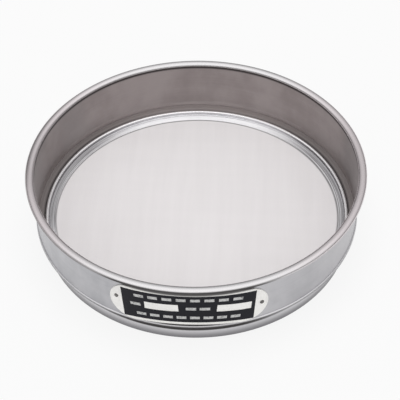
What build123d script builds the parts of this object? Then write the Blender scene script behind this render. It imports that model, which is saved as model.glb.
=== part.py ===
from build123d import *
import os
from math import asin, cos, degrees, radians, sin, sqrt

# A 200 mm test sieve standing on its skirt. Z is the sieve's axis, the base is at z = 0
# and the name plate faces -Y. All sizes are in millimetres, angles in degrees.

# Frame, one spun sheet from the rolled bead down to the plain edge of the skirt
frame_height = 50.0
bore_radius = 100.0
frame_sheet = 0.6
bead_width = 5.2
bead_height = 3.6
fold_height = 13.4
fold_bulge = 0.8
fold_bevel = 1.0
bulge_height = 2.0
shoulder_width = 2.0
skirt_inset = 3.5

# Press ring: its rolled lip grips the skirt, and its flange, tinned on top to a slight
# slope, holds the cloth down
ring_sheet = 0.6
lip_top_height = 13.4
lip_radius = 1.05
lip_sweep = 240.0
press_clearance = 0.05
flange_top_height = 10.0
flange_width = 4.15
flange_rise = 1.1

# Wire cloth, stretched flat and soldered under the flange
cloth_thickness = 0.3
cloth_field_margin = 1.0
wire_pitch = 8.0
wire_width = 1.6
wire_relief = 0.1

# Round sections are run in short flats, which keeps the part light. The hidden hollow of
# the bead takes every other one of its corners.
bead_flats = 6
lip_flats = 4

# Name plate, wrapped on the wall along a slight arch
plate_span = 91.8
plate_height = 27.2
plate_thickness = 0.5
plate_middle_height = 31.0
plate_arch_radius = 275.0
wrap_clearance = 0.02

# Black enamel inside the plate's bare edge, left open at two blank windows. Its long edges
# crown by these amounts, and its ends lean in towards the foot.
enamel_end_margin = 6.7
enamel_end_lean = 1.6
enamel_top_margin = 3.4
enamel_top_crown = 1.5
enamel_foot_margin = 2.0
enamel_foot_crown = 2.6
enamel_thickness = 0.1
window_span = 19.8
window_height = 5.6
left_window_inset = 13.8
right_window_inset = 2.8

# Rivets through the plate's ends and the wall, peened flush with the bore. Each stands
# this far in from the plate's end and this far above its middle line.
left_rivet_inset = 4.1
left_rivet_rise = 3.2
right_rivet_inset = 3.8
right_rivet_rise = 0.8
rivet_head_radius = 1.25
rivet_head_height = 0.5
rivet_shank_radius = 0.7
rivet_hole_clearance = 0.05

# Heights and radii that follow from the sizes above
wall_radius = bore_radius + frame_sheet
bulge_radius = wall_radius + fold_bulge
ledge_top = fold_height + frame_sheet
skirt_radius = bore_radius - skirt_inset
skirt_bore = skirt_radius - frame_sheet
shoulder_outer_width = shoulder_width - (2 - sqrt(2)) * frame_sheet
bead_centre = (bore_radius + bead_width / 2, frame_height - bead_height / 2)
lip_centre = (skirt_bore - press_clearance - lip_radius, lip_top_height - lip_radius)
ring_bore = lip_centre[0] - lip_radius
ring_outer = ring_bore + ring_sheet
cloth_top = flange_top_height - ring_sheet
cloth_bottom = cloth_top - cloth_thickness
flange_inner_radius = ring_bore - flange_width
cloth_field_radius = flange_inner_radius - cloth_field_margin
plate_back = wall_radius + wrap_clearance
plate_face = plate_back + plate_thickness
enamel_back = plate_face + wrap_clearance
rivet_seat = plate_face + wrap_clearance
arch_centre_height = plate_middle_height - plate_arch_radius
enamel_half_span = plate_span / 2 - enamel_end_margin
enamel_foot_half_span = enamel_half_span - enamel_end_lean
enamel_top = plate_middle_height + plate_height / 2 - enamel_top_margin
enamel_foot = plate_middle_height - plate_height / 2 + enamel_foot_margin
left_window_place = left_window_inset + window_span / 2 - enamel_half_span
right_window_place = enamel_half_span - right_window_inset - window_span / 2


def bead_points(inset):
    """Corners of the bead's oval, its flats this far inside the outer surface."""
    half_turn = radians(270 / bead_flats / 2)
    half_width = (bead_width / 2 - inset) / cos(half_turn)
    half_height = (bead_height / 2 - inset) / cos(half_turn)
    turns = [radians(180) - half_turn * (2 * step + 1) for step in range(bead_flats + 1)]
    return [(bead_centre[0] + half_width * cos(t), bead_centre[1] + half_height * sin(t)) for t in turns]


def radial_plane(angle, height, distance):
    """Plane square to the line that leaves the axis at this angle from -Y."""
    turn = radians(angle)
    outward = (sin(turn), -cos(turn), 0)
    return Plane(
        origin=(distance * outward[0], distance * outward[1], height),
        x_dir=(cos(turn), sin(turn), 0),
        z_dir=outward,
    )


def arch_place(across):
    """Place on the plate's middle line, this far across."""
    lean = asin(across / plate_arch_radius)
    return Location((across, arch_centre_height + plate_arch_radius * cos(lean), 0), (0, 0, -degrees(lean)))


def rivet_place(across, rise):
    """Angle from -Y and height of a rivet, this far across and above the plate's middle line."""
    arch_height = arch_centre_height + sqrt(plate_arch_radius**2 - across**2)
    return degrees(asin(across / plate_face)), arch_height + rise


rivet_places = {
    "rivet_left": rivet_place(left_rivet_inset - plate_span / 2, left_rivet_rise),
    "rivet_right": rivet_place(plate_span / 2 - right_rivet_inset, right_rivet_rise),
}

os.makedirs("parts", exist_ok=True)

with BuildPart() as frame_shell:
    with BuildSketch(Plane.XZ):
        with BuildLine():
            Polyline(
                (skirt_bore, 0),
                (skirt_radius, 0),
                (skirt_radius, fold_height - shoulder_outer_width),
                (skirt_radius + shoulder_outer_width, fold_height),
                (bulge_radius - fold_bevel, fold_height),
                (bulge_radius, fold_height + fold_bevel),
                (wall_radius, fold_height + bulge_height),
                *bead_points(frame_sheet)[::2],
                *reversed(bead_points(0)),
                (bore_radius, ledge_top),
                (skirt_bore + shoulder_width, ledge_top),
                (skirt_bore, ledge_top - shoulder_width),
                close=True,
            )
        make_face()
    revolve(axis=Axis.Z)
    for angle, height in rivet_places.values():
        with BuildSketch(radial_plane(angle, height, bore_radius - frame_sheet)):
            Circle(rivet_shank_radius + rivet_hole_clearance)
        extrude(amount=3 * frame_sheet, mode=Mode.SUBTRACT)

frame_shell.part.label = "frame_shell"
export_step(frame_shell.part, "parts/frame_shell.step")

lip_turns = [radians(180 - lip_sweep * step / lip_flats) for step in range(lip_flats + 1)]
lip_points = [(lip_centre[0] + lip_radius * cos(t), lip_centre[1] + lip_radius * sin(t)) for t in lip_turns]

with BuildPart() as press_ring:
    with BuildSketch(Plane.XZ):
        with BuildLine():
            Polyline(
                (flange_inner_radius, cloth_top),
                (ring_outer, cloth_top),
                (ring_outer, lip_points[-1][1]),
                *reversed(lip_points),
                (ring_bore, flange_top_height + flange_rise),
                (flange_inner_radius, flange_top_height),
                close=True,
            )
        make_face()
    revolve(axis=Axis.Z)

press_ring.part.label = "press_ring"
export_step(press_ring.part, "parts/press_ring.step")

wire_count = int((cloth_field_radius - wire_width) / wire_pitch)
wire_places = [wire_pitch * step for step in range(-wire_count, wire_count + 1)]
wire_lengths = [2 * sqrt(cloth_field_radius**2 - (abs(p) + wire_width / 2) ** 2) for p in wire_places]

with BuildPart() as wire_cloth:
    with BuildSketch(Plane.XY.offset(cloth_bottom)):
        Circle(ring_outer)
    extrude(amount=cloth_thickness)
    # Warp wires stand proud above the cloth and weft wires below it
    with BuildSketch(Plane.XY.offset(cloth_top)):
        for place, length in zip(wire_places, wire_lengths):
            with Locations((place, 0)):
                Rectangle(wire_width, length)
    extrude(amount=wire_relief)
    with BuildSketch(Plane.XY.offset(cloth_bottom)):
        for place, length in zip(wire_places, wire_lengths):
            with Locations((0, place)):
                Rectangle(length, wire_width)
    extrude(amount=-wire_relief)

wire_cloth.part.label = "wire_cloth"
export_step(wire_cloth.part, "parts/wire_cloth.step")

arch_half_angle = degrees(asin((plate_span - plate_height) / 2 / plate_arch_radius))

with BuildPart() as name_plate:
    with BuildSketch(Plane.XZ):
        with BuildLine() as plate_line:
            CenterArc(
                (0, arch_centre_height),
                plate_arch_radius,
                90 - arch_half_angle,
                2 * arch_half_angle,
            )
        SlotArc(plate_line.wires()[0], plate_height)
    extrude(amount=2 * plate_face)
    with BuildSketch():
        Circle(plate_face)
        Circle(plate_back, mode=Mode.SUBTRACT)
    extrude(amount=frame_height, mode=Mode.INTERSECT)
    for angle, height in rivet_places.values():
        with BuildSketch(radial_plane(angle, height, plate_back - plate_thickness)):
            Circle(rivet_shank_radius + rivet_hole_clearance)
        extrude(amount=3 * plate_thickness, mode=Mode.SUBTRACT)

name_plate.part.label = "name_plate"
export_step(name_plate.part, "parts/name_plate.step")

with BuildPart() as plate_enamel:
    with BuildSketch(Plane.XZ):
        with BuildLine():
            top_line = ThreePointArc(
                (-enamel_half_span, enamel_top - enamel_top_crown),
                (0, enamel_top),
                (enamel_half_span, enamel_top - enamel_top_crown),
            )
            foot_line = ThreePointArc(
                (-enamel_foot_half_span, enamel_foot - enamel_foot_crown),
                (0, enamel_foot),
                (enamel_foot_half_span, enamel_foot - enamel_foot_crown),
            )
            Line(top_line @ 0, foot_line @ 0)
            Line(top_line @ 1, foot_line @ 1)
        make_face()
        with Locations(arch_place(left_window_place), arch_place(right_window_place)):
            Rectangle(window_span, window_height, mode=Mode.SUBTRACT)
    extrude(amount=2 * plate_face)
    with BuildSketch():
        Circle(enamel_back + enamel_thickness)
        Circle(enamel_back, mode=Mode.SUBTRACT)
    extrude(amount=frame_height, mode=Mode.INTERSECT)

plate_enamel.part.label = "plate_enamel"
export_step(plate_enamel.part, "parts/plate_enamel.step")

for name, (angle, height) in rivet_places.items():
    with BuildPart() as rivet:
        with BuildSketch(radial_plane(angle, height, bore_radius)):
            Circle(rivet_shank_radius)
        extrude(amount=rivet_seat - bore_radius)
        with BuildSketch(radial_plane(angle, height, rivet_seat)):
            Circle(rivet_head_radius)
        extrude(amount=rivet_head_height)
    rivet.part.label = name
    export_step(rivet.part, f"parts/{name}.step")
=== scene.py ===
from math import asin, atan2, cos, pi, radians, sin, sqrt

import bmesh
import bpy
from mathutils import Matrix, Quaternion, Vector


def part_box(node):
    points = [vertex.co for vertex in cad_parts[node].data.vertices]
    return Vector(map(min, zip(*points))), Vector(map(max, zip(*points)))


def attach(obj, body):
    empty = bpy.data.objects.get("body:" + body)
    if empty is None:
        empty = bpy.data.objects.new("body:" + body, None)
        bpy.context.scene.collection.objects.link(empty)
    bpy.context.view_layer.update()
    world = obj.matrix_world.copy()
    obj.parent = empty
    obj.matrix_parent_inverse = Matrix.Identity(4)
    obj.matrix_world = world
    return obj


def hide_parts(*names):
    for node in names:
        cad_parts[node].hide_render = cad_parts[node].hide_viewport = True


# Looks of a 200 mm test sieve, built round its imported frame.
# Sizes are in millimetres until a piece is finished, then its mesh is scaled to metres.

mm = 0.001
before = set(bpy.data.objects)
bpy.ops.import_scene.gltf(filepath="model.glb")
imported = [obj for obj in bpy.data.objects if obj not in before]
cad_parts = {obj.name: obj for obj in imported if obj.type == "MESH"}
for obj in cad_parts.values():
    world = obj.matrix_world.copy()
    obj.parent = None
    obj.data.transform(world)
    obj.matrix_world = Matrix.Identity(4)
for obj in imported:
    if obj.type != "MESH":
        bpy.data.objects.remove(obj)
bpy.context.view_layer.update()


# Shader maths: a Value wraps one socket, and an expression on it adds its nodes

class Value:
    def __init__(self, finish, socket):
        self.finish = finish
        self.socket = socket

    def maths(self, operation, *terms):
        return self.finish.add("Math", dict(enumerate(terms)), operation=operation)

    def __add__(self, other):
        return self.maths("ADD", self, other)

    def __radd__(self, other):
        return self.maths("ADD", other, self)

    def __sub__(self, other):
        return self.maths("SUBTRACT", self, other)

    def __rsub__(self, other):
        return self.maths("SUBTRACT", other, self)

    def __mul__(self, other):
        return self.maths("MULTIPLY", self, other)

    def __rmul__(self, other):
        return self.maths("MULTIPLY", other, self)

    def __truediv__(self, other):
        return self.maths("DIVIDE", self, other)

    def absolute(self):
        return self.maths("ABSOLUTE", self)

    def sine(self):
        return self.maths("SINE", self)

    def root(self):
        return self.maths("SQRT", self)

    def step(self, low, high):
        # 0 below low, 1 above high, soft between
        values = {"Value": self, "From Min": low, "From Max": high}
        return self.finish.add("MapRange", values, interpolation_type="SMOOTHSTEP")

    def rise(self, stretch, base=0.0):
        # step over a stretch given in millimetres above base
        return self.step((base + stretch[0]) * mm, (base + stretch[1]) * mm)


class Finish:
    def __init__(self, name, tree=None):
        if tree is None:
            self.material = bpy.data.materials.new(name)
            self.material.use_nodes = True
            tree = self.material.node_tree
        self.tree = tree
        self.shader = tree.nodes.get("Principled BSDF")

    def add(self, kind, values=None, out=0, **settings):
        node = self.tree.nodes.new("ShaderNode" + kind)
        for name, setting in settings.items():
            setattr(node, name, setting)
        for name, value in (values or {}).items():
            self.plug(node.inputs[name], value)
        return Value(self, node.outputs[out])

    def plug(self, socket, value):
        if isinstance(value, Value):
            self.tree.links.new(value.socket, socket)
        else:
            socket.default_value = value

    def surface(self, **values):
        for name, value in values.items():
            self.plug(self.shader.inputs[name.replace("_", " ")], value)
        return self.material

    def place(self):
        where = self.add("TexCoord", out=3)
        axes = self.tree.nodes.new("ShaderNodeSeparateXYZ")
        self.tree.links.new(where.socket, axes.inputs[0])
        return [Value(self, axis) for axis in axes.outputs]

    def vector(self, x, y, z):
        return self.add("CombineXYZ", {"X": x, "Y": y, "Z": z})

    def noise(self, axes, scales, detail=2, roughness=0.5):
        # scales are per metre, one for each axis
        place = self.vector(*(axis * scale for axis, scale in zip(axes, scales)))
        values = {"Vector": place, "Scale": 1.0, "Detail": detail, "Roughness": roughness}
        return self.add("TexNoise", values)

    def mix(self, factor, first, second):
        values = {0: factor, 6: first, 7: second}
        return self.add("Mix", values, out=2, data_type="RGBA")

    def bump(self, height, distance, strength=1.0, normal=None):
        values = {"Height": height, "Distance": distance, "Strength": strength}
        if normal is not None:
            values["Normal"] = normal
        return self.add("Bump", values)


def tone(red, green, blue):
    return (red, green, blue, 1.0)


# Bodies spun round the sieve's axis

def arc(centre, size, start, end, steps):
    # size is the half width and half height of a round or oval stretch
    turns = [radians(start + (end - start) * i / steps) for i in range(steps + 1)]
    return [(centre[0] + size[0] * cos(t), centre[1] + size[1] * sin(t)) for t in turns]


def spinSection(section, steps, dullFrom=None):
    # corners from dullFrom on are marked as the duller inside
    bm = bmesh.new()
    dull = bm.verts.layers.float.new("inside")
    corners = [bm.verts.new((radius, 0, height)) for radius, height in section]
    for corner in corners[dullFrom if dullFrom is not None else len(corners):]:
        corner[dull] = 1
    sides = [bm.edges.new(pair) for pair in zip(corners, corners[1:] + corners[:1])]
    bmesh.ops.spin(
        bm, geom=corners + sides, cent=(0, 0, 0), axis=(0, 0, 1),
        angle=2 * pi, steps=steps, use_merge=True,
    )
    return bm


def finishPiece(name, bm, material, replaced, sharp=40):
    bmesh.ops.scale(bm, vec=(mm, mm, mm), verts=bm.verts)
    bmesh.ops.recalc_face_normals(bm, faces=bm.faces)
    mesh = bpy.data.meshes.new(name)
    bm.to_mesh(mesh)
    bm.free()
    mesh.shade_smooth()
    mesh.set_sharp_from_angle(angle=radians(sharp))
    mesh.materials.append(material)
    piece = bpy.data.objects.new(name, mesh)
    bpy.context.scene.collection.objects.link(piece)
    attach(piece, "root")
    if replaced:
        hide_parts(*replaced)
    print(name, len(mesh.polygons), "faces")


# Frame: one spun sheet, polished outside and duller inside

rolledFrame = {
    "boreRadius": 100.0,
    "sheet": 0.6,
    "height": 50.0,
    "beadWidth": 5.2,
    "beadHeight": 3.6,
    "beadEnd": -138,        # degrees round the bead where the sheet's edge stops
    "foldHeight": 13.4,
    "foldBulge": 0.8,
    "foldRadius": 1.1,
    "foldRise": 1.05,
    "skirtRadius": 96.5,
    "shoulderRadius": 2.25,
    "ledgeCorner": 0.5,
    "edgeRadius": 0.25,
    "dullStart": 174,       # degrees round the bead where the polished outside stops
    "dullStep": 4,          # degrees from there to the duller inside
    "steps": 288,
    "outsideDark": tone(0.41, 0.41, 0.43),
    "outsideLight": tone(0.56, 0.555, 0.575),
    "outsideRightShade": tone(0.45, 0.44, 0.455),
    "insideDark": tone(0.305, 0.27, 0.265),
    "insideLight": tone(0.395, 0.355, 0.35),
    "insideCool": tone(0.30, 0.288, 0.288),
    "wallFootLightTone": tone(0.53, 0.48, 0.475),
    "ledgeSideShadeTone": tone(0.20, 0.178, 0.175),
    "ledgeBackShadeTone": tone(0.285, 0.25, 0.245),
    "ledgeShade": tone(0.06, 0.052, 0.052),
    "beadTone": tone(0.695, 0.68, 0.69),
    "beadSideLightTone": tone(0.77, 0.71, 0.725),
    "beadShadeTone": tone(0.36, 0.335, 0.34),
    "skirtLightTone": tone(0.74, 0.73, 0.75),
    "foldFrontHighlightTone": tone(0.50, 0.49, 0.505),
    "skirtFootShadeTone": tone(0.27, 0.265, 0.28),
    "paintedShadeTone": tone(0.05, 0.045, 0.045),
    # each noise: its scales per metre, then its detail and roughness
    "lines": ((22, 22, 1900), 3, 0.65),
    "bands": ((6, 6, 260), 2),
    "smudges": ((26, 26, 13), 3),
    "waves": ((14, 14, 9), 1),
    "wear": ((160, 160, 160), 4, 0.7),
    "mottle": ((75, 75, 60), 3, 0.6),
    "hue": ((30, 30, 8), 2),
    # each bump: its distance in metres and its strength
    "waveBump": (0.0022, 0.5),
    "lineBump": (0.00003, 0.55),
    # stretches over which one tone gives way to the next, above the base or out from the axis
    "wallFoot": (15.0, 19.0),
    "ledgeShadeEnd": (96.1, 97.4),
    "skirtTop": (10.5, 12.5),
    "skirtFoot": (0.5, 7.5),
    "beadShadeStart": (101.4, 104.0),
    "underFoldStart": (6.3, 7.2),
    "underPlateEnd": (17.4, 17.8),
    # above the ledge
    "ledgeEnd": (0.2, 0.9),
    # above the bead's lower side
    "rimStart": (0.8, 1.3),
    "underRimStart": (-2.6, -1.2),
    "underRimEnd": (2.2, 3.0),
    "inRimStart": (-0.6, 0.7),
    "inRimEnd": (1.5, 1.9),
    # above the middle of the fold's round
    "foldHighlightStart": (0.25, 0.55),
    "foldHighlightEnd": (0.85, 1.15),
    "underFoldEnd": (0.2, 0.6),
    "underPlateStart": (0.9, 1.1),
}


def frameSection(f):
    sheet = f["sheet"]
    wall = f["boreRadius"] + sheet
    ledge = f["foldHeight"] + sheet
    skirtBore = f["skirtRadius"] - sheet
    edge = f["edgeRadius"]
    bend = f["shoulderRadius"]
    fold = f["foldRadius"]
    corner = f["ledgeCorner"]
    beadCentre = (f["boreRadius"] + f["beadWidth"] / 2, f["height"] - f["beadHeight"] / 2)
    beadSize = (f["beadWidth"] / 2, f["beadHeight"] / 2)
    hollowSize = (beadSize[0] - sheet, beadSize[1] - sheet)
    bendCentre = (skirtBore + bend, ledge - bend)
    foldCentre = (wall + f["foldBulge"] - fold, f["foldHeight"] + fold)
    cornerCentre = (f["boreRadius"] - corner, ledge + corner)
    return [
        *arc((skirtBore + edge, edge), (edge, edge), 180, 270, 4),
        *arc((f["skirtRadius"] - edge, edge), (edge, edge), 270, 360, 4),
        *arc(bendCentre, (bend - sheet, bend - sheet), 180, 90, 8),
        *arc(foldCentre, (fold, fold), -90, 50, 14),
        (wall, foldCentre[1] + f["foldRise"]),
        *arc(beadCentre, hollowSize, 180, f["beadEnd"], 24),
        *arc(beadCentre, beadSize, f["beadEnd"], f["dullStart"], 40),
    ], [
        *arc(beadCentre, beadSize, f["dullStart"] + f["dullStep"], 180, 4),
        *arc(cornerCentre, (corner, corner), 0, -90, 5),
        *arc(bendCentre, (bend, bend), 90, 180, 10),
    ]


def makeSteel(f):
    steel = Finish("spunSteel")
    mix = steel.mix
    x, y, z = place = steel.place()
    radius = (x * x + y * y).root()
    right = x / radius
    left = right * -1
    front = y / radius * -1
    across = right.absolute()
    spun = (x, y, z - radius)
    lines = steel.noise(spun, *f["lines"])
    bands = steel.noise(spun, *f["bands"])
    smudges = steel.noise(place, *f["smudges"])
    waves = steel.noise(place, *f["waves"])
    wear = steel.noise(place, *f["wear"])
    mottle = steel.noise(place, *f["mottle"])
    hue = steel.noise(place, *f["hue"])
    polish = smudges * 0.55 + mottle * 0.25 + lines * 0.12 + bands * 0.08
    grade = polish.step(0.38, 0.62)
    inner = steel.add("Attribute", out=2, attribute_name="inside")
    outer = 1 - inner

    # wall
    outside = mix(grade, f["outsideDark"], f["outsideLight"])
    # painted shade: the outside wall is darker towards its right side
    outside = mix(right.step(0.2, 0.9) * 0.5, outside, f["outsideRightShade"])
    inside = mix(grade, f["insideDark"], f["insideLight"])
    cool = (across * 0.6 + hue * 0.6).step(0.72, 0.95)
    inside = mix(cool * 0.4, inside, f["insideCool"])
    # painted light: the inside wall is lighter towards its foot
    inside = mix((1 - z.rise(f["wallFoot"])) * 0.8, inside, f["wallFootLightTone"])

    # ledge: painted shade, lighter at the back, darkest at the sides and at its inner edge
    ledge = inner * (1 - z.rise(f["ledgeEnd"], f["foldHeight"] + f["sheet"]))
    ledgeShade = (1 - radius.rise(f["ledgeShadeEnd"])) * (0.3 + across.step(0.3, 0.9) * 0.6)
    ledgeColour = mix(across.step(0.25, 0.85), f["ledgeBackShadeTone"], f["ledgeSideShadeTone"])
    ledgeColour = mix(ledgeShade, ledgeColour, f["ledgeShade"])
    colour = mix(inner, outside, mix(ledge, inside, ledgeColour))

    # bead: painted light on its sides, and painted shade on its outer part along the left side
    beadBottom = f["height"] - f["beadHeight"]
    rim = z.rise(f["rimStart"], beadBottom) * outer
    bead = mix(across.step(0.4, 0.95), f["beadTone"], f["beadSideLightTone"])
    leftBack = left.step(0.72, 0.97) * (0.1 - front).step(-0.2, 0.1)
    bead = mix(leftBack * radius.rise(f["beadShadeStart"]) * 0.8, bead, f["beadShadeTone"])
    colour = mix(rim, colour, bead)

    # skirt: painted lighter, with painted shade towards its foot, and a painted highlight along
    # the fold
    skirt = outer * (1 - z.rise(f["skirtTop"]))
    colour = mix(skirt, colour, mix(z.rise(f["skirtFoot"]), f["skirtFootShadeTone"], f["skirtLightTone"]))
    foldMiddle = f["foldHeight"] + f["foldRadius"]
    # painted highlight along the fold, dimmer at the front
    foldHighlight = outer * z.rise(f["foldHighlightStart"], foldMiddle)
    foldHighlight = foldHighlight * (1 - z.rise(f["foldHighlightEnd"], foldMiddle))
    foldHighlightColour = mix(front.step(0.88, 0.97), f["skirtLightTone"], f["foldFrontHighlightTone"])
    colour = mix(foldHighlight, colour, foldHighlightColour)

    # painted shade where the sheet turns over, and a painted shadow along the plate's foot
    underRim = outer * z.rise(f["underRimStart"], beadBottom)
    underRim = underRim * (1 - z.rise(f["underRimEnd"], beadBottom))
    inRim = inner * z.rise(f["inRimStart"], beadBottom)
    inRim = inRim * (1 - z.rise(f["inRimEnd"], beadBottom))
    underFold = outer * z.rise(f["underFoldStart"])
    underFold = underFold * (1 - z.rise(f["underFoldEnd"], foldMiddle))
    underPlate = outer * z.rise(f["underPlateStart"], foldMiddle)
    underPlate = underPlate * (1 - z.rise(f["underPlateEnd"]))
    rimShare = 0.2 + left.step(0.2, 0.7) * 0.45 + front.step(0.84, 0.95) * 0.8
    paintedShade = underRim * rimShare + inRim * 0.95
    paintedShade = paintedShade + underFold * (0.35 + front.step(0.8, 0.96) * 0.65)
    paintedShade = paintedShade + underPlate * front.step(0.97, 0.995) * 0.97
    colour = mix(paintedShade, colour, f["paintedShadeTone"])

    # the painted shade is matt and hardly metallic, or it would still mirror the sky at a low
    # angle
    matt = outer * paintedShade
    rough = 0.32 + (smudges - 0.5) * 0.16 + (wear - 0.5) * 0.10
    rough = rough - rim * 0.14 + inner * 0.08 + ledge * 0.2 + matt * 0.5
    wavy = steel.bump(waves, *f["waveBump"])
    brushed = steel.bump(lines, *f["lineBump"], wavy)
    metallic = 1 - ledge * 0.7 - matt * 0.9
    return steel.surface(Base_Color=colour, Metallic=metallic, Roughness=rough, Normal=brushed)


steel = makeSteel(rolledFrame)
outside, inside = frameSection(rolledFrame)
shell = spinSection(outside + inside, rolledFrame["steps"], len(outside))
finishPiece("rolledFrame", shell, steel, ["frame_shell"])


# Press ring: a rolled lip, a short wall and the flange that holds the cloth

pressRing = {
    "sheet": 0.6,
    "lipCentre": (94.8, 12.35),
    "lipRadius": 1.05,
    "lipEnd": -100,
    "flangeTop": 10.0,
    "flangeRadius": 89.6,
    "flangeRise": 1.1,
    "corner": 0.7,
    "steps": 288,
    "dark": tone(0.60, 0.595, 0.62),
    "light": tone(0.78, 0.775, 0.80),
    "flangeLitDark": tone(0.86, 0.855, 0.88),
    "flangeLitLight": tone(0.97, 0.965, 0.98),
    "sideShadeTone": tone(0.26, 0.25, 0.26),
    "lipHighlightTone": tone(0.95, 0.935, 0.95),
    # each noise: its scales per metre, then its detail and roughness
    "lines": ((18, 18, 2100), 3, 0.6),
    "smudges": ((40, 40, 40), 3),
    "waves": ((24, 24, 60), 1),
    "streaks": ((9, 9, 1500), 3, 0.6),
    # each bump: its distance in metres and its strength
    "waveBump": (0.0012, 0.5),
    "lineBump": (0.00003, 0.5),
    "lipHighlightStart": (12.6, 13.0),
    "flangeLitEnd": (92.2, 92.9),
}


def ringSection(r):
    sheet = r["sheet"]
    lip = r["lipRadius"]
    hollow = lip - sheet
    bore = r["lipCentre"][0] - lip
    corner = r["corner"]
    half = sheet / 2
    bendHeight = r["flangeTop"] + r["flangeRise"] + corner * 0.8
    return [
        *arc((r["flangeRadius"] + half, r["flangeTop"] - half), (half, half), 270, 90, 6),
        *arc((bore - corner, bendHeight), (corner, corner), 285, 360, 6),
        *arc(r["lipCentre"], (lip, lip), 180, r["lipEnd"], 24),
        *arc(r["lipCentre"], (hollow, hollow), r["lipEnd"], 180, 12),
        (bore + sheet, r["flangeTop"] - sheet),
    ]


def makeRingSteel(r):
    steel = Finish("ringSteel")
    mix = steel.mix
    x, y, z = place = steel.place()
    radius = (x * x + y * y).root()
    lines = steel.noise((x, y, z - radius), *r["lines"])
    smudges = steel.noise(place, *r["smudges"])
    waves = steel.noise(place, *r["waves"])
    streaks = steel.noise((x, y, radius + z * 0.6), *r["streaks"])
    grade = (smudges * 0.6 + lines * 0.4).step(0.35, 0.65)
    side = 1 - (y / radius - 0.25).absolute().step(0.3, 0.75)
    lip = z.rise(r["lipHighlightStart"])
    # painted light: the flange, facing up, is painted near white
    flangeLit = 1 - radius.rise(r["flangeLitEnd"])
    bare = mix(grade, r["dark"], r["light"])
    colour = mix(flangeLit, bare, mix(grade, r["flangeLitDark"], r["flangeLitLight"]))
    # painted shade: the ring's sides below the lip are darker, in streaks
    sideShade = side * (1 - lip) * (0.25 + streaks.step(0.35, 0.6) * 0.7)
    colour = mix(sideShade, colour, r["sideShadeTone"])
    # painted highlight: the lip's top is painted near white
    colour = mix(lip, colour, r["lipHighlightTone"])
    rough = 0.27 + (smudges - 0.5) * 0.16 + (lines - 0.5) * 0.08 + flangeLit * 0.15
    wavy = steel.bump(waves, *r["waveBump"])
    brushed = steel.bump(lines, *r["lineBump"], wavy)
    metallic = 0.9 - flangeLit * (1 - side) * 0.7
    return steel.surface(Base_Color=colour, Metallic=metallic, Roughness=rough, Normal=brushed)


ringBody = spinSection(ringSection(pressRing), pressRing["steps"])
finishPiece("pressRing", ringBody, makeRingSteel(pressRing), ["press_ring"])


# Wire cloth: a taut disc with a fine plain weave in its finish

wireCloth = {
    "radius": 94.3,
    "top": 9.4,
    "thickness": 0.3,
    "pitch": 0.32,          # from one wire to the next
    "wireDepth": 0.06,
    "wireStrength": 0.35,
    "segments": 192,
    "dark": tone(0.665, 0.64, 0.645),
    "light": tone(0.705, 0.68, 0.685),
    "edgeRadius": 89.6,
    "edgeStart": (-0.9, -0.3),  # out from the edge radius
    "edge": tone(0.36, 0.35, 0.355),
    "gap": tone(0.62, 0.60, 0.605),
    # each noise: its scales per metre, then its detail and roughness
    "streaks": ((150, 9, 0), 3, 0.6),
    "crossings": ((8, 120, 0), 2),
    "clouds": ((12, 12, 0), 2),
    "slackBump": (0.0012, 0.35),
}


def makeCloth(c):
    cloth = Finish("wovenWire")
    place = cloth.place()
    x, y = place[:2]
    turn = pi / (c["pitch"] * mm)
    warpWave = (x * turn).sine()
    weftWave = (y * turn).sine()
    warp = warpWave.absolute()
    weft = weftWave.absolute()
    warpOver = (warpWave * weftWave).step(-0.25, 0.25)
    height = weft + (warp - weft) * warpOver
    gap = ((1 - warp) * (1 - weft)).step(0.25, 0.7)
    streaks = cloth.noise(place, *c["streaks"])
    crossings = cloth.noise(place, *c["crossings"])
    clouds = cloth.noise(place, *c["clouds"])
    tint = (streaks * 0.5 + crossings * 0.2 + clouds * 0.3).step(0.3, 0.7)
    wire = cloth.mix(tint, c["dark"], c["light"])
    radius = (x * x + y * y).root()
    # painted shadow: the cloth is dark from just inside the flange's inner edge outwards
    edge = radius.rise(c["edgeStart"], c["edgeRadius"])
    colour = cloth.mix(edge, cloth.mix(gap * 0.8, wire, c["gap"]), c["edge"])
    rough = 0.6 + (streaks - 0.5) * 0.15
    slack = cloth.bump(clouds, *c["slackBump"])
    woven = cloth.bump(height, c["wireDepth"] * mm, c["wireStrength"], slack)
    return cloth.surface(
        Base_Color=colour, Metallic=0.0, Roughness=rough, Normal=woven, Specular_IOR_Level=0.2
    )


def clothDisc(c):
    bm = bmesh.new()
    bmesh.ops.create_circle(bm, cap_ends=True, segments=c["segments"], radius=c["radius"])
    for vert in bm.verts:
        vert.co.z = c["top"] - c["thickness"]
    raised = bmesh.ops.extrude_face_region(bm, geom=list(bm.faces))["geom"]
    top = [item for item in raised if isinstance(item, bmesh.types.BMVert)]
    bmesh.ops.translate(bm, vec=(0, 0, c["thickness"]), verts=top)
    return bm


finishPiece("wireCloth", clothDisc(wireCloth), makeCloth(wireCloth), ["wire_cloth"])


# Name plate, its enamel and rows of plain bars, all wrapped on the wall

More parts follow.
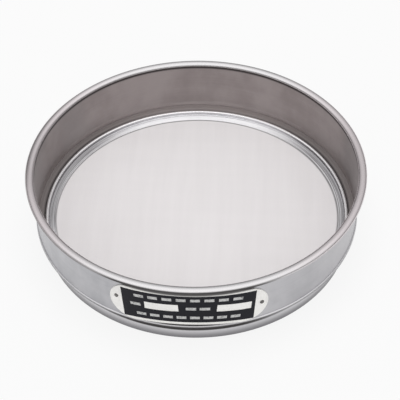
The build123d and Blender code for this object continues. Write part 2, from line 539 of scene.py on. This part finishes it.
namePlate = {
    "enamelFace": 101.24,
    "archRadius": 275.0,
    "middle": 31.0,
    "markLift": 0.04,
    "metal": tone(0.97, 0.955, 0.93),
    "metalWorn": tone(0.86, 0.85, 0.83),
    "metalShade": tone(0.08, 0.075, 0.075),
    "black": tone(0.0055, 0.0055, 0.010),
    "mark": tone(0.58, 0.58, 0.575),
    "markWorn": tone(0.20, 0.20, 0.20),
    "dust": tone(0.10, 0.10, 0.105),
    "shadeStart": (40.8, 42.4),
    # each noise: its scales per metre and its detail
    "metalGrain": ((900, 900, 60), 2),
    "metalSmudges": ((90, 90, 90), 3),
    "enamelFlow": ((120, 120, 120), 3),
    "enamelDust": ((1400, 1400, 1400), 2),
    "markWear": ((700, 700, 700), 3),
    # each bump: its distance in metres and its strength
    "metalBump": (0.00002, 0.4),
    "enamelBump": (0.00008, 0.3),
    "stripWidth": 2.5,      # widest flat strip of a bar bent round the wall
    # each bar: place across, drop below the middle line, width and height
    "topMarks": [(-28.0 + 8.0 * i, -7.0, 5.6, 2.2) for i in range(8)],
    "middleMarks": [(-30.6, 0, 6.0, 2.2), (1.7, 0, 6.0, 2.2), (9.7, 0, 6.0, 2.2)],
    "bottomMarks": [(-28.0 + 8.0 * i, 7.6, 5.6, 2.2) for i in range(8)],
}


def smoothCopy(name, node, material, merge=0.002, sharp=30):
    bm = bmesh.new()
    bm.from_mesh(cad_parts[node].data)
    bmesh.ops.remove_doubles(bm, verts=bm.verts, dist=merge * mm)
    bmesh.ops.scale(bm, vec=(1 / mm, 1 / mm, 1 / mm), verts=bm.verts)
    finishPiece(name, bm, material, [node], sharp)


def makePlateMetal(p):
    metal = Finish("plateMetal")
    place = metal.place()
    grain = metal.noise(place, *p["metalGrain"])
    smudges = metal.noise(place, *p["metalSmudges"])
    worn = (smudges * 0.7 + grain * 0.3).step(0.4, 0.75)
    colour = metal.mix(worn, p["metal"], p["metalWorn"])
    colour = metal.mix(place[2].rise(p["shadeStart"]), colour, p["metalShade"])
    rough = 0.45 + (smudges - 0.5) * 0.2
    bumped = metal.bump(grain, *p["metalBump"])
    return metal.surface(Base_Color=colour, Metallic=0.1, Roughness=rough, Normal=bumped)


def makeEnamel(p):
    enamel = Finish("blackEnamel")
    place = enamel.place()
    flow = enamel.noise(place, *p["enamelFlow"])
    dust = enamel.noise(place, *p["enamelDust"])
    colour = enamel.mix(dust.step(0.62, 0.8) * 0.25, p["black"], p["dust"])
    rough = 0.34 + (flow - 0.5) * 0.2
    bumped = enamel.bump(flow, *p["enamelBump"])
    return enamel.surface(
        Base_Color=colour, Metallic=0.0, Roughness=rough, Normal=bumped, Specular_IOR_Level=0.15
    )


def makeMarkPaint(p):
    paint = Finish("markPaint")
    worn = paint.noise(paint.place(), *p["markWear"])
    colour = paint.mix(worn.step(0.45, 0.75), p["mark"], p["markWorn"])
    rough = 0.5 + (worn - 0.5) * 0.2
    return paint.surface(Base_Color=colour, Metallic=0.1, Roughness=rough)


def archPlace(p, across, drop):
    # on the plate's arch, this far across and this far below its middle line
    lean = asin(across / p["archRadius"])
    reach = p["archRadius"] - drop
    height = p["middle"] - p["archRadius"] + reach * cos(lean)
    place = Matrix.Translation((across * reach / p["archRadius"], 0, height))
    return place @ Matrix.Rotation(lean, 4, "Y")


def wrapOnWall(bm, depthStart):
    # the mesh is drawn flat facing -Y, its own y counting inwards from depthStart
    for vert in bm.verts:
        reach = depthStart - vert.co.y
        vert.co.y = -sqrt(reach ** 2 - vert.co.x ** 2)


def plateMarks(p):
    bm = bmesh.new()
    for across, drop, width, height in p["topMarks"] + p["middleMarks"] + p["bottomMarks"]:
        strips = max(2, round(width / p["stripWidth"]))
        upright = Matrix.Rotation(pi / 2, 4, "X") @ Matrix.Diagonal((width, height, 1, 1))
        grid = bmesh.ops.create_grid(
            bm, x_segments=strips, y_segments=1, size=0.5,
            matrix=archPlace(p, across, drop) @ upright,
        )["verts"]
        faces = list({face for vert in grid for face in vert.link_faces})
        raised = bmesh.ops.extrude_face_region(bm, geom=faces)["geom"]
        front = [item for item in raised if isinstance(item, bmesh.types.BMVert)]
        bmesh.ops.translate(bm, vec=(0, -p["markLift"], 0), verts=front)
    wrapOnWall(bm, p["enamelFace"])
    return bm


smoothCopy("plateBlank", "name_plate", makePlateMetal(namePlate))
smoothCopy("plateEnamel", "plate_enamel", makeEnamel(namePlate))
finishPiece("plateMarks", plateMarks(namePlate), makeMarkPaint(namePlate), [])


# Rivets: low domed heads with a dimple, shanks through the plate and wall

rivets = {
    "nodes": ["rivet_left", "rivet_right"],
    "headRadius": 1.25,
    "headHeight": 0.5,
    "headCurve": (0.35, 0.33),
    "dimpleRadius": 0.5,
    "dimpleDepth": 0.3,
    "dimpleLip": 0.12,
    "shankRadius": 0.7,
    "boreRadius": 100.0,
    "seat": 101.14,
    "steps": 40,
    "dark": tone(0.05, 0.045, 0.045),
    "light": tone(0.30, 0.29, 0.28),
    "stain": ((1500, 1500, 1500), 3),   # scales per metre and detail
}


def makeRivetMetal(r):
    metal = Finish("rivetMetal")
    stain = metal.noise(metal.place(), *r["stain"])
    colour = metal.mix(stain.step(0.4, 0.65), r["dark"], r["light"])
    rough = 0.35 + (stain - 0.5) * 0.2
    return metal.surface(Base_Color=colour, Metallic=1.0, Roughness=rough)


def rivetBody(r, angle, height):
    head = r["headRadius"]
    seat = r["seat"]
    top = seat + r["headHeight"]
    curve = r["headCurve"]
    lip = r["dimpleLip"]
    section = [
        (0, top - r["dimpleDepth"]),
        (r["dimpleRadius"] * 0.6, top - r["dimpleDepth"]),
        *arc((r["dimpleRadius"] + lip, top - lip), (lip, lip), 170, 80, 3),
        *arc((head - curve[0], top - curve[0]), curve, 80, 0, 5),
        (head, seat),
        (r["shankRadius"], seat),
        (r["shankRadius"], r["boreRadius"]),
        (0, r["boreRadius"]),
    ]
    bm = bmesh.new()
    corners = [bm.verts.new((radius, 0, reach)) for radius, reach in section]
    sides = [bm.edges.new(pair) for pair in zip(corners, corners[1:])]
    bmesh.ops.spin(
        bm, geom=corners + sides, cent=(0, 0, 0), axis=(0, 0, 1),
        angle=2 * pi, steps=r["steps"], use_merge=True,
    )
    bmesh.ops.remove_doubles(bm, verts=bm.verts, dist=0.001)
    outward = Vector((sin(angle), -cos(angle), 0))
    turn = outward.to_track_quat("Z", "Y").to_matrix()
    bmesh.ops.rotate(bm, cent=(0, 0, 0), matrix=turn, verts=bm.verts)
    bmesh.ops.translate(bm, vec=(0, 0, height), verts=bm.verts)
    return bm


rivetMetal = makeRivetMetal(rivets)
for node in rivets["nodes"]:
    low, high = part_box(node)
    middle = (low + high) / 2
    body = rivetBody(rivets, atan2(middle.x, -middle.y), middle.z / mm)
    finishPiece(node.replace("rivet_", "rivetHead_"), body, rivetMetal, [node])


# Studio: a pale floor, a soft sky that darkens towards the camera, and one overhead softbox

studio = {
    "floorSize": 6.0,
    "floorTone": tone(0.90, 0.90, 0.90),
    "backdrop": 0.956,
    "cameraShare": 0.93,    # how much of the plain backdrop the camera sees over the lit floor
    "glossShare": 0.65,
    "skyLow": 0.6,
    "skyHigh": 1.25,
    "skyFill": 0.62,        # even sky that lights matt surfaces
    "cameraSide": 0.75,     # how much darker the sky is low behind the camera
    "brightPole": (0.342, 0.94),    # lean of the brightest sky towards the camera, and its height
    "edgeLight": 0.35,      # share of the sky's light that is left at the horizon
    "softbox": {"place": (0.0, 0.1, 1.6), "size": 0.9, "power": 16.0},
}


def makeFloor(s):
    bm = bmesh.new()
    bmesh.ops.create_grid(bm, x_segments=1, y_segments=1, size=s["floorSize"] / 2)
    mesh = bpy.data.meshes.new("floor")
    bm.to_mesh(mesh)
    bm.free()
    finish = Finish("paleFloor")
    rays = finish.tree.nodes.new("ShaderNodeLightPath").outputs
    rayKinds = ("Is Camera Ray", "Is Glossy Ray", "Is Transmission Ray")
    camera, gloss, through = (Value(finish, rays[kind]) for kind in rayKinds)
    paper = finish.add("BsdfDiffuse", {"Color": s["floorTone"]})
    glow = finish.add("Emission", {"Color": tone(1, 1, 1), "Strength": s["backdrop"]})
    share = camera * s["cameraShare"] + (gloss + through) * s["glossShare"]
    blend = finish.add("MixShader", {0: share, 1: paper, 2: glow})
    output = finish.tree.nodes["Material Output"]
    finish.tree.links.new(blend.socket, output.inputs["Surface"])
    finish.tree.nodes.remove(finish.shader)
    mesh.materials.append(finish.material)
    floor = bpy.data.objects.new("floor", mesh)
    bpy.context.scene.collection.objects.link(floor)


def makeSky(s):
    world = bpy.data.worlds.new("studioSky")
    world.use_nodes = True
    bpy.context.scene.world = world
    sky = Finish("sky", world.node_tree)
    where = sky.add("TexCoord", out=0)
    axes = sky.tree.nodes.new("ShaderNodeSeparateXYZ")
    sky.tree.links.new(where.socket, axes.inputs[0])
    y, z = (Value(sky, axes.outputs[i]) for i in (1, 2))
    matt = Value(sky, sky.tree.nodes.new("ShaderNodeLightPath").outputs["Is Diffuse Ray"])
    lean, up = s["brightPole"]
    zenith = (z * up - y * lean).step(0.2, 1.0)
    front = (y * -1).step(0.25, 0.75) * (1 - z.step(0.0, 0.3))
    edge = s["edgeLight"] + z.step(0.0, 0.65) * (1 - s["edgeLight"])
    strength = edge * (s["skyLow"] + zenith * (s["skyHigh"] - s["skyLow"]))
    strength = strength * (1 - front * s["cameraSide"])
    strength = strength + matt * (s["skyFill"] - strength)
    background = sky.tree.nodes["Background"]
    sky.plug(background.inputs["Color"], tone(1, 1, 1))
    sky.plug(background.inputs["Strength"], strength)


def makeSoftbox(s):
    box = s["softbox"]
    light = bpy.data.lights.new("softbox", "AREA")
    light.shape = "SQUARE"
    light.size = box["size"]
    light.energy = box["power"]
    lamp = bpy.data.objects.new("softbox", light)
    lamp.location = box["place"]
    lamp.rotation_euler = (-Vector(box["place"])).to_track_quat("-Z", "Y").to_euler()
    lamp.visible_glossy = False
    bpy.context.scene.collection.objects.link(lamp)


makeFloor(studio)
makeSky(studio)
makeSoftbox(studio)
print("studio built")


# Camera, from the front and above, a little to the right of the plate's middle

cameraSet = {
    "lens": 121.86,
    "distance": 855.4,
    "turn": radians(3.1),
    "rise": radians(43.997),
    "roll": radians(-0.729),
    "aimAcross": 2.199,
    "aimHeight": 20.041,
}


def makeCamera(c):
    across = Vector((cos(c["turn"]), sin(c["turn"]), 0))
    level = cos(c["rise"])
    back = Vector((sin(c["turn"]) * level, -cos(c["turn"]) * level, sin(c["rise"])))
    target = across * c["aimAcross"] + Vector((0, 0, c["aimHeight"]))
    data = bpy.data.cameras.new("camera")
    data.lens = c["lens"]
    data.sensor_width = 36
    data.clip_start = 0.05
    camera = bpy.data.objects.new("camera", data)
    camera.location = (target + back * c["distance"]) * mm
    turn = (-back).to_track_quat("-Z", "Y") @ Quaternion((0, 0, 1), c["roll"])
    camera.rotation_euler = turn.to_euler()
    bpy.context.scene.collection.objects.link(camera)
    bpy.context.scene.camera = camera


makeCamera(cameraSet)
bpy.context.scene.view_settings.view_transform = "Standard"
